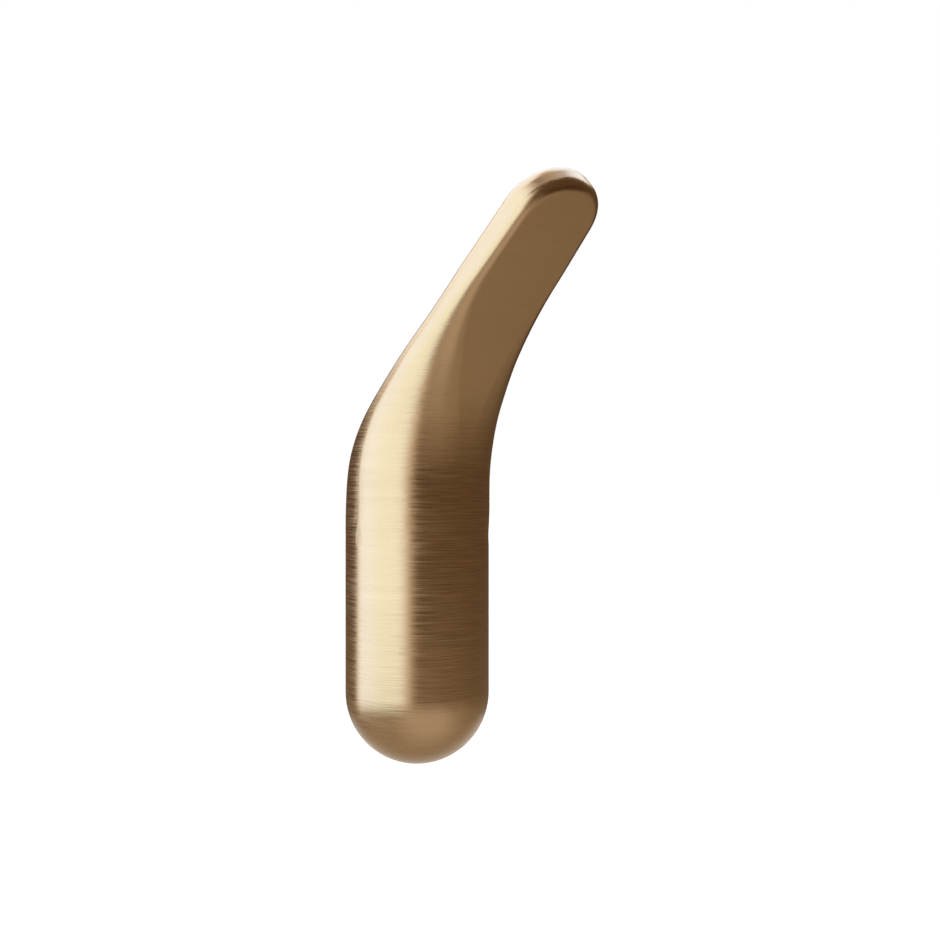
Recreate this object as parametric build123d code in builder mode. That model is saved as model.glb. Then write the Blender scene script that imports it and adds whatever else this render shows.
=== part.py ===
from build123d import *
import os
from math import radians, tan

# Robe hook: a round post with a ball end, flat against the wall, flows into a leaning flat tongue.
# The wall is the plane Y = 0 and the hook stands out from it towards -Y, with +Z up.
# The origin is the middle of the two wall screws, on the wall. Millimetres and degrees.

os.makedirs("parts", exist_ok=True)

# Post
post_diameter = 25.0
axis_to_wall = 8.2  # from the post's axis to its flat back
post_below_screws = 28.0  # the ball end's lowest point, below the origin
bend_height = 47.8  # from that lowest point to the start of the front bend

# Bend
lean_angle = 47.0  # of the tongue, away from the wall
front_bend_radius = 45.8
back_bend_radius = 25.3
run_out = 3.0  # straight end of the blend, where it meets the tongue
front_share = 0.62  # most of the thickness that the front corners may take
front_softness = 0.75  # below 1, the front corners stay round for longer than the back ones
side_flat = 0.3  # least flat left between two corners
circle_lead = 3.0  # length of plain post that the blend starts with
mark_angle = 3.0  # half the arc of the post's circle that opens into each flat
blend_steps = 15  # from the post's last circle to the foot of the tongue

# Tongue
tongue_length = 7.6  # from the blend to the centre of the half-round tip
tongue_thickness = 5.6
tip_width = 16.5
taper_angle = 3.5  # of each side
front_edge_radius = 1.7
back_edge_radius = 2.4

# Wall bracket, which sits in a pocket in the flat back
bracket_width = 11.0
bracket_height = 32.0
bracket_thickness = 7.0
bracket_corner_radius = 3.0
bracket_undercut = 1.2  # the top end leans forward, so that the hook is drawn to the wall
screw_spacing = 18.0
screw_hole_diameter = 4.5
screw_head_diameter = 8.4
screw_head_angle = 90.0

# Pocket
side_clearance = 0.25
seat_clearance = 0.1  # between the leaning top ends
lift_clearance = 1.6  # below the bracket, to lift the hook on and off
floor_clearance = 0.5  # in front of the bracket
pocket_corner_radius = 3.0

# Grub screw, which locks the hook from below
grub_diameter = 4.0
grub_length = 10.0
grub_tip_chamfer = 0.5
grub_seat_depth = 1.0  # in the bracket's lower end
socket_width = 2.0  # across the flats
socket_depth = 2.5
thread_clearance = 0.1

post_radius = post_diameter / 2
axis_y = -axis_to_wall
front_y = axis_y - post_radius
back_y = axis_y + post_radius
bottom_z = -post_below_screws
ball_z = bottom_z + post_radius
bend_z = bottom_z + bend_height
to_the_right = Vector(1, 0, 0)


# Front and back lines of the bend, seen from the side
with BuildLine(Plane.YZ) as front_bend:
    front_arc = JernArc((front_y, bend_z), (0, 1), front_bend_radius, lean_angle)
    Line(front_arc @ 1, front_arc @ 1 + (front_arc % 1) * run_out)
arm = front_arc % 1
face_normal = arm.rotate(Axis.X, 90)
front_top = front_bend.wire() @ 1
back_top = front_top - face_normal * tongue_thickness
back_corner_z = back_top.Z + (back_top.Y - back_y) / tan(radians(lean_angle))
blend_z = back_corner_z - back_bend_radius * tan(radians(lean_angle / 2))

with BuildLine(Plane.YZ) as front_line:
    Line((front_y, blend_z), (front_y, bend_z))
    add(front_bend.line)
with BuildLine(Plane.YZ) as back_line:
    back_arc = JernArc((back_y, blend_z), (0, 1), back_bend_radius, lean_angle)
    Line(back_arc @ 1, back_top)

# Tongue: a tapered plate with a half-round tip
tip_centre = front_top + arm * tongue_length
tip_side = Vector(tip_width / 2, 0).rotate(Axis.Z, taper_angle)
taper_slope = tan(radians(taper_angle))
foot_half = tip_side.X + (tip_side.Y + tongue_length) * taper_slope

with BuildPart() as tongue:
    with BuildSketch(Plane(tip_centre, x_dir=to_the_right, z_dir=face_normal)):
        with BuildLine():
            foot = Line((-foot_half, -tongue_length), (foot_half, -tongue_length))
            Line(foot @ 1, tip_side)
            ThreePointArc(tip_side, (0, tip_width / 2), (-tip_side.X, tip_side.Y))
            Line((-tip_side.X, tip_side.Y), foot @ 0)
        make_face()
    extrude(amount=-tongue_thickness)
    along_arm = Axis(tip_centre, arm)
    through_arm = Axis(tip_centre, face_normal)
    front_face = tongue.faces().sort_by(through_arm)[-1]
    fillet(front_face.edges().sort_by(along_arm)[1:], front_edge_radius)
    back_face = tongue.faces().sort_by(through_arm)[0]
    fillet(back_face.edges().sort_by(along_arm)[1:], back_edge_radius)
tongue_foot = tongue.faces().sort_by(along_arm)[0]


# Blend: sections from the post's circle to the foot of the tongue
def post_section(height):
    """The post's circle, cut into the eight arcs that become the flats and corners of the blend."""
    marks = [quarter + side * mark_angle for quarter in (-90, 0, 90, 180) for side in (-1, 1)]
    spans = [2 * mark_angle, 90 - 2 * mark_angle] * 4
    arcs = [CenterArc((0, axis_y), post_radius, mark, span) for mark, span in zip(marks, spans)]
    return Face(Plane.XY.offset(height) * Wire(arcs))


def blend_section(share):
    """A rounded rectangle between the front and back lines, at a share of their lengths."""
    # The back line is the longer one, so near the tongue its share runs ahead to keep the sections square
    front_length = front_line.wire().length
    length_ratio = front_length / back_line.wire().length
    back_share = share + share**8 * (1 - share) * (1 - length_ratio)
    front_point = front_line.wire() @ share
    across = back_line.wire() @ back_share - front_point
    depth = across.length

    # The width narrows from the start of the front bend and ends with the slope of the taper
    bend_share = (bend_z - blend_z) / front_length
    narrow = max(0, (share - bend_share) / (1 - bend_share))
    narrowing = post_radius - foot_half
    slope = taper_slope * front_length * (1 - bend_share) / narrowing
    half = post_radius - narrowing * ((3 - slope) * narrow**2 + (slope - 2) * narrow**3)

    # The corners ease from the post's radius to the edge radii of the tongue
    roundness = 1 - share**3 * (share * (6 * share - 15) + 10)
    front_radius = front_edge_radius + (post_radius - front_edge_radius) * roundness**front_softness
    front_radius = min(front_radius, half - side_flat, max(front_share * depth, front_edge_radius))
    back_radius = back_edge_radius + (post_radius - back_edge_radius) * roundness
    back_radius = min(back_radius, half - side_flat, depth - front_radius - side_flat)

    front_side = half - front_radius
    back_side = half - back_radius
    back_row = depth - back_radius
    with BuildLine(Plane(front_point, x_dir=to_the_right, z_dir=to_the_right.cross(across))) as outline:
        Line((-front_side, 0), (front_side, 0))
        CenterArc((front_side, front_radius), front_radius, -90, 90)
        Line((half, front_radius), (half, back_row))
        CenterArc((back_side, back_row), back_radius, 0, 90)
        Line((back_side, depth), (-back_side, depth))
        CenterArc((-back_side, back_row), back_radius, 90, 90)
        Line((-half, back_row), (-half, front_radius))
        CenterArc((-front_side, front_radius), front_radius, 180, 90)
    return Face(outline.wire())


blend_sections = [post_section(blend_z - circle_lead), post_section(blend_z)]
blend_sections += [blend_section(step / blend_steps) for step in range(1, blend_steps)]
blend_sections += [tongue_foot]

# Bracket and pocket have the same side outline, apart from their clearances
bracket_low = -bracket_height / 2
bracket_high = bracket_height / 2
undercut_slope = bracket_undercut / bracket_thickness
pocket_depth = bracket_thickness + floor_clearance
pocket_low = bracket_low - lift_clearance
pocket_high = bracket_high + seat_clearance + undercut_slope * floor_clearance
grub_y = -bracket_thickness / 2
grub_top = bracket_low + grub_seat_depth

with BuildPart() as hook_body:
    # Post and ball end
    with BuildSketch(Plane.YZ):
        with BuildLine():
            ball_arc = CenterArc((axis_y, ball_z), post_radius, 180, 90)
            Line(ball_arc @ 0, (front_y, blend_z - circle_lead))
            Line((front_y, blend_z - circle_lead), (axis_y, blend_z - circle_lead))
            Line((axis_y, blend_z - circle_lead), ball_arc @ 1)
        make_face()
    revolve(axis=Axis((0, axis_y, 0), (0, 0, 1)))
    # Bend, tongue and flat back
    loft(sections=blend_sections)
    add(tongue.part)
    split(bisect_by=Plane.XZ, keep=Keep.TOP)
    # Pocket for the bracket
    with BuildSketch(Plane.YZ):
        with BuildLine():
            mouth_high = pocket_high - undercut_slope * pocket_depth
            Polyline((0, pocket_low), (-pocket_depth, pocket_low), (-pocket_depth, pocket_high))
            Polyline((-pocket_depth, pocket_high), (0, mouth_high), (0, pocket_low))
        make_face()
    extrude(amount=bracket_width / 2 + side_clearance, both=True, mode=Mode.SUBTRACT)
    fillet(hook_body.edges().filter_by(Axis.Y).group_by(Axis.Z)[0], pocket_corner_radius)
    # Grub screw hole, from the ball end into the pocket
    with BuildSketch(Plane.XY.offset(pocket_low)):
        with Locations((0, grub_y)):
            Circle(grub_diameter / 2 + thread_clearance)
    extrude(amount=bottom_z - pocket_low, mode=Mode.SUBTRACT)

with BuildPart() as wall_bracket:
    with BuildSketch(Plane.YZ):
        with BuildLine():
            back_high = bracket_high - bracket_undercut
            Polyline((0, bracket_low), (-bracket_thickness, bracket_low), (-bracket_thickness, bracket_high))
            Polyline((-bracket_thickness, bracket_high), (0, back_high), (0, bracket_low))
        make_face()
    extrude(amount=bracket_width / 2, both=True)
    fillet(wall_bracket.edges().filter_by(Axis.Y).group_by(Axis.Z)[0], bracket_corner_radius)
    # Countersunk holes for the wall screws
    with Locations(Plane.XZ.offset(bracket_thickness)):
        with GridLocations(0, screw_spacing, 1, 2):
            CounterSinkHole(
                screw_hole_diameter / 2,
                screw_head_diameter / 2,
                depth=bracket_thickness,
                counter_sink_angle=screw_head_angle,
            )
    # Seat for the tip of the grub screw
    with BuildSketch(Plane.XY.offset(bracket_low)):
        with Locations((0, grub_y)):
            Circle(grub_diameter / 2 + thread_clearance)
    extrude(amount=grub_seat_depth, mode=Mode.SUBTRACT)

with BuildPart() as grub_screw:
    with BuildSketch(Plane.XY.offset(grub_top)):
        with Locations((0, grub_y)):
            Circle(grub_diameter / 2)
    extrude(amount=-grub_length)
    chamfer(grub_screw.edges().sort_by(Axis.Z)[-1], grub_tip_chamfer)
    # Hexagon socket in the lower end
    with BuildSketch(Plane.XY.offset(grub_top - grub_length)):
        with Locations((0, grub_y)):
            RegularPolygon(socket_width / 2, 6, major_radius=False)
    extrude(amount=socket_depth, mode=Mode.SUBTRACT)

hook_body.part.label = "hook_body"
export_step(hook_body.part, "parts/hook_body.step")
wall_bracket.part.label = "wall_bracket"
export_step(wall_bracket.part, "parts/wall_bracket.step")
grub_screw.part.label = "grub_screw"
export_step(grub_screw.part, "parts/grub_screw.step")
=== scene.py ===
import math

import bpy
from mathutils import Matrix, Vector

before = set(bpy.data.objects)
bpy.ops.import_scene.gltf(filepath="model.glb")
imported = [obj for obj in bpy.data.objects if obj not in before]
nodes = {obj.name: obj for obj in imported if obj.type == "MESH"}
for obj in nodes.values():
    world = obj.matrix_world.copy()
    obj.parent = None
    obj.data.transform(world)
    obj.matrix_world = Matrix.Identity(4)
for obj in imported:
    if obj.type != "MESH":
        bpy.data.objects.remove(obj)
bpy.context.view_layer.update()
scene = bpy.context.scene
scene.view_settings.view_transform = "Standard"

# The hook's own places, in metres
POST_AXIS_Y = -0.0082
POST_RADIUS = 0.0125
BALL_Z = -0.0155
TIP = Vector((0, -0.046, 0.066))
BRUSH_FADE_LOW = 0.02
BRUSH_FADE_HIGH = 0.05

# Brass, between the darkest and the lightest brush lines
BRASS_DARK = (0.62, 0.45, 0.275)
BRASS_LIGHT = (0.74, 0.55, 0.345)
BRASS_SMOOTH = 0.16
BRASS_ROUGH = 0.4
BRUSH_CONTRAST = 2.5
TONGUE_BRUSH = 0.3

# The photograph's viewpoint: level, 40 degrees to the hook's left, through a 50 mm lens
VIEW_TURN = math.radians(40)
VIEW_DISTANCE = 0.2282
VIEW_SIDESTEP = 0.00921
VIEW_HEIGHT = 0.02303

# Studio: panels stand all round the hook and the floor lies below them
PANEL_STEP = 5
CARD_FADE = 0.5
EDGE_COLOUR = (1.0, 0.8, 0.55)
WARM_LIGHT = (0.83, 0.96, 1.0)
FLAG_COLOUR = (1.0, 0.5, 0.2)
FLOOR_Z = -0.65
FLOOR_SIZE = 60
FLOOR_GREY = 0.5
FLOOR_GLOW = 0.92
WORLD_LIGHT = 0.3

towards_camera = Vector((-math.sin(VIEW_TURN), -math.cos(VIEW_TURN), 0))
camera_right = Vector((math.cos(VIEW_TURN), -math.sin(VIEW_TURN), 0))
post = Vector((0, POST_AXIS_Y, VIEW_HEIGHT))

camera_data = bpy.data.cameras.new("camera")
camera_data.lens = 50
camera_data.sensor_width = 36
camera_data.clip_start = 0.005
camera = bpy.data.objects.new("camera", camera_data)
camera.location = post + towards_camera * VIEW_DISTANCE + camera_right * VIEW_SIDESTEP
camera.rotation_euler = (math.radians(90), 0, -VIEW_TURN)
scene.collection.objects.link(camera)
scene.camera = camera


# Materials
class Nodes:
    """A short way to write a node tree."""

    def __init__(self, owner):
        owner.use_nodes = True
        self.tree = owner.node_tree
        self.tree.nodes.clear()

    def add(self, kind, inputs=None, **settings):
        node = self.tree.nodes.new(kind)
        for name, value in settings.items():
            setattr(node, name, value)
        for key, value in (inputs or {}).items():
            if isinstance(value, bpy.types.NodeSocket):
                self.tree.links.new(value, node.inputs[key])
            else:
                node.inputs[key].default_value = value
        return node

    def math(self, operation, *values, clamp=False):
        node = self.add("ShaderNodeMath", dict(enumerate(values)), operation=operation, use_clamp=clamp)
        return node.outputs[0]

    def ramp(self, value, low, high, out_low, out_high):
        limits = {"From Min": low, "From Max": high, "To Min": out_low, "To Max": out_high}
        return self.add("ShaderNodeMapRange", {"Value": value, **limits}).outputs["Result"]

    def mix_colour(self, factor, first, second):
        inputs = {"Factor": factor, 6: (*first, 1), 7: (*second, 1)}
        return self.add("ShaderNodeMix", inputs, data_type="RGBA").outputs[2]

    def noise(self, vector, scale, detail=2.0, roughness=0.5):
        inputs = {"Vector": vector, "Scale": scale, "Detail": detail, "Roughness": roughness}
        return self.add("ShaderNodeTexNoise", inputs).outputs["Fac"]

    def blend(self, first, second, share):
        """The first value and a share of the second one."""
        kept = self.math("MULTIPLY", first, 1 - share)
        return self.math("ADD", kept, self.math("MULTIPLY", second, share))

    def combine(self, x, y, z):
        return self.add("ShaderNodeCombineXYZ", {"X": x, "Y": y, "Z": z}).outputs[0]

    def glowing(self, glow, colour, strength):
        """The output of a light that is clear where its glow is nought."""
        clear = self.add("ShaderNodeBsdfTransparent").outputs[0]
        light = self.add("ShaderNodeEmission", {"Color": colour, "Strength": strength}).outputs[0]
        shader = self.add("ShaderNodeMixShader", {0: glow, 1: clear, 2: light})
        self.add("ShaderNodeOutputMaterial", {"Surface": shader.outputs[0]})

    def background_rays(self):
        """One for the rays that show a background: from the camera, a mirror or glass."""
        path = self.add("ShaderNodeLightPath").outputs
        mirrored = self.math("ADD", path["Is Glossy Ray"], path["Is Transmission Ray"])
        return self.math("ADD", path["Is Camera Ray"], mirrored, clamp=True)


def brushed_brass():
    material = bpy.data.materials.new("brushed_brass")
    n = Nodes(material)
    place = n.add("ShaderNodeSeparateXYZ", {0: n.add("ShaderNodeTexCoord").outputs["Object"]})
    x, y, z = place.outputs

    # Height along the surface: on the ball end it follows the arc, so that the brush lines stay fine
    above = n.math("MAXIMUM", n.math("SUBTRACT", z, BALL_Z), 0)
    below = n.math("MINIMUM", n.math("SUBTRACT", z, BALL_Z), 0)
    sine = n.math("MAXIMUM", n.math("DIVIDE", below, POST_RADIUS), -1)
    arc = n.math("MULTIPLY", n.math("ARCSINE", sine), POST_RADIUS)
    height = n.math("ADD", above, arc)

    def brush(length, thickness, detail):
        """Level brush lines of about that length and thickness."""
        across = [n.math("DIVIDE", value, length) for value in (x, y)]
        return n.noise(n.combine(*across, n.math("DIVIDE", height, thickness)), 1.0, detail, 0.6)

    # The lines are plain on the post and faint on the tongue
    plainness = n.ramp(z, BRUSH_FADE_LOW, BRUSH_FADE_HIGH, 1.0, TONGUE_BRUSH)

    def lines(value):
        """Brush lines between 0 and 1, nearer to the middle where they are faint."""
        contrast = n.math("MULTIPLY", plainness, BRUSH_CONTRAST)
        spread = n.math("MULTIPLY", n.math("SUBTRACT", value, 0.5), contrast)
        return n.math("ADD", spread, 0.5, clamp=True)

    fine = n.blend(brush(0.012, 0.00021, 1.0), brush(0.005, 0.00013, 0.0), 0.45)
    broad = brush(0.025, 0.0011, 2.0)
    tone = lines(n.blend(fine, broad, 0.35))
    bump = n.add("ShaderNodeBump", {"Strength": 0.2, "Distance": 0.00004, "Height": lines(fine)})
    # The level lines spread the gloss up and down
    shader = n.add(
        "ShaderNodeBsdfPrincipled",
        {
            "Base Color": n.mix_colour(tone, BRASS_DARK, BRASS_LIGHT),
            "Metallic": 1.0,
            "Roughness": n.ramp(lines(fine), 0.0, 1.0, BRASS_SMOOTH, BRASS_ROUGH),
            "Anisotropic": 0.4,
            "Tangent": n.combine(0.0, 0.0, 1.0),
            "Normal": bump.outputs[0],
        },
    )
    n.add("ShaderNodeOutputMaterial", {"Surface": shader.outputs[0]})
    return material


def plain_steel(name, dark, light, grain_size, roughness):
    material = bpy.data.materials.new(name)
    n = Nodes(material)
    place = n.add("ShaderNodeTexCoord").outputs["Object"]
    grain = n.noise(place, 1 / grain_size, 4.0, 0.65)
    tone = n.ramp(n.blend(grain, n.noise(place, 260.0), 0.45), 0.3, 0.7, 0.0, 1.0)
    bump = n.add("ShaderNodeBump", {"Strength": 0.15, "Distance": 0.00005, "Height": grain})
    shader = n.add(
        "ShaderNodeBsdfPrincipled",
        {
            "Base Color": n.mix_colour(tone, dark, light),
            "Metallic": 1.0,
            "Roughness": n.ramp(tone, 0.0, 1.0, roughness - 0.08, roughness + 0.08),
            "Normal": bump.outputs[0],
        },
    )
    n.add("ShaderNodeOutputMaterial", {"Surface": shader.outputs[0]})
    return material


def dress(node, material):
    slots = nodes[node].data.materials
    slots.clear()
    slots.append(material)


dress("hook_body", brushed_brass())
dress("wall_bracket", plain_steel("bracket_steel", (0.5, 0.51, 0.53), (0.66, 0.67, 0.68), 0.0006, 0.38))
dress("grub_screw", plain_steel("grub_steel", (0.3, 0.3, 0.31), (0.48, 0.48, 0.49), 0.0003, 0.34))


# Studio
def stage_mesh(name, points, faces, material):
    mesh = bpy.data.meshes.new(name)
    mesh.from_pydata(points, [], faces)
    mesh.materials.append(material)
    thing = bpy.data.objects.new(name, mesh)
    scene.collection.objects.link(thing)
    return thing


def around(turn, lift):
    """The direction at a turn to the right of the camera and a lift above the level, in degrees."""
    turn = math.radians(turn)
    lift = math.radians(lift)
    level = towards_camera * math.cos(turn) + camera_right * math.sin(turn)
    return level * math.cos(lift) + Vector((0, 0, math.sin(lift)))


def soft_step(depth, fade):
    """From 0 at a panel's border to 1 at that depth inside it."""
    share = min(1.0, depth / fade) if fade else 1.0
    return share * share * (3 - 2 * share)


def panel(name, turns, lifts, colour, strength, reach, fades=(0, 0, 0), centre=post, edge=EDGE_COLOUR):
    """A curved panel for the metal to mirror, at a reach from its centre, between turns and lifts.
    Over so many degrees at its left, at its right, and at its top and bottom, its glow fades out
    and takes the colour of its edge."""
    columns = math.ceil((turns[1] - turns[0]) / PANEL_STEP)
    rows = math.ceil((lifts[1] - lifts[0]) / PANEL_STEP)
    all_round = turns[1] - turns[0] >= 360
    points = []
    glows = []
    for row in range(rows + 1):
        lift = lifts[0] + (lifts[1] - lifts[0]) * row / rows
        for column in range(columns + 1):
            turn = turns[0] + (turns[1] - turns[0]) * column / columns
            points.append(centre + around(turn, lift) * reach)
            glow = soft_step(min(lift - lifts[0], lifts[1] - lift), fades[2])
            if not all_round:
                glow *= soft_step(turn - turns[0], fades[0])
                glow *= soft_step(turns[1] - turn, fades[1])
            glows.append(glow)
    wide = columns + 1
    corners = [row * wide + column for row in range(rows) for column in range(columns)]
    faces = [(first, first + 1, first + wide + 1, first + wide) for first in corners]

    material = bpy.data.materials.new(name)
    n = Nodes(material)
    glow = n.add("ShaderNodeAttribute", attribute_name="glow").outputs["Fac"]
    tint = n.mix_colour(glow, edge, colour)
    n.glowing(glow, tint, strength)
    thing = stage_mesh(name, points, faces, material)
    thing.data.attributes.new("glow", "FLOAT", "POINT").data.foreach_set("value", glows)
    thing.visible_camera = False
    return thing


def round_card(name, turn, distance, height, radius, colour, strength):
    """A soft round card, level below the hook, at a turn and a distance from the post."""
    material = bpy.data.materials.new(name)
    n = Nodes(material)
    place = n.add("ShaderNodeTexCoord").outputs["Object"]
    centred = n.add("ShaderNodeTexGradient", {"Vector": place}, gradient_type="SPHERICAL").outputs["Fac"]
    n.glowing(n.ramp(centred, 0.0, CARD_FADE, 0.0, 1.0), (*colour, 1), strength)
    thing = stage_mesh(name, [(-1, -1, 0), (1, -1, 0), (1, 1, 0), (-1, 1, 0)], [(0, 1, 2, 3)], material)
    thing.location = Vector((0, POST_AXIS_Y, height)) + around(turn, 0) * distance
    thing.scale = (radius, radius, 1)
    thing.visible_camera = False
    return thing


# Dark room: brown walls, a paler ceiling and dark flags close to the tip
panel("walls", (-180, 180), (-90, 70), (1.0, 0.6, 0.32), 0.12, 0.55)
panel("ceiling", (-180, 180), (70, 90), (1.0, 0.87, 0.78), 0.62, 0.55)
flags = [
    panel("flag_right", (15, 100), (-42, 0), FLAG_COLOUR, 0.07, 0.05, (6, 6, 6), TIP),
    panel("flag_behind", (135, 190), (-36, 10), FLAG_COLOUR, 0.08, 0.06, (10, 10, 10), TIP),
]
for flag in flags:
    flag.visible_diffuse = False

# Low cards, which leave the floor its own light and shadow
low_cards = [
    panel("low_card", (-180, 180), (-90, -3), (1.0, 0.77, 0.53), 0.28, 0.54, (0, 0, 26)),
    panel("low_card_right", (10, 95), (-50, -15), (1.0, 0.79, 0.56), 0.4, 0.53, (15, 15, 12)),
    round_card("under_card", 0, 0.08, -0.06, 0.17, (1.0, 0.8, 0.6), 0.36),
    round_card("front_card", 20, 0.075, -0.058, 0.07, (1.0, 0.84, 0.7), 0.58),
    round_card("back_card", 180, 0.08, -0.056, 0.08, (1.0, 0.95, 0.95), 0.65),
]
for card in low_cards:
    card.visible_diffuse = False
    card.visible_shadow = False

# Soft lights: one above at the left, one behind for the tip, and a wide one close by at the left,
# with a warmer one just in front of its right part
panel("soft_above_left", (-165, -38), (12, 85), (0.73, 0.84, 1.0), 1.9, 0.53, (25, 25, 12))
panel("soft_behind", (106, 240), (24, 86), (0.64, 0.77, 1.0), 2.1, 0.52, (15, 15, 15))
panel("soft_left", (-111, 3), (-35.5, 45), (0.67, 0.8, 1.0), 2.05, 0.17, (14, 34, 7))
panel("soft_left_warm", (-88, -12), (-35.5, 45), WARM_LIGHT, 1.63, 0.168, (40, 25, 7), edge=WARM_LIGHT)

# White floor and background, as the photograph has
paper = bpy.data.materials.new("floor_paper")
n = Nodes(paper)
strength = n.ramp(n.background_rays(), 0, 1, 0, FLOOR_GLOW)
glow = n.add("ShaderNodeEmission", {"Color": (1, 1, 1, 1), "Strength": strength})
sheet = n.add("ShaderNodeBsdfDiffuse", {"Color": (FLOOR_GREY, FLOOR_GREY, FLOOR_GREY, 1)})
both = n.add("ShaderNodeAddShader", {0: glow.outputs[0], 1: sheet.outputs[0]})
n.add("ShaderNodeOutputMaterial", {"Surface": both.outputs[0]})
half = FLOOR_SIZE / 2
corners = [(-half, -half, FLOOR_Z), (half, -half, FLOOR_Z), (half, half, FLOOR_Z), (-half, half, FLOOR_Z)]
stage_mesh("floor", corners, [(0, 1, 2, 3)], paper)

world = bpy.data.worlds.new("studio")
scene.world = world
n = Nodes(world)
strength = n.ramp(n.background_rays(), 0, 1, WORLD_LIGHT, 1)
background = n.add("ShaderNodeBackground", {"Color": (1, 1, 1, 1), "Strength": strength})
n.add("ShaderNodeOutputWorld", {"Surface": background.outputs[0]})
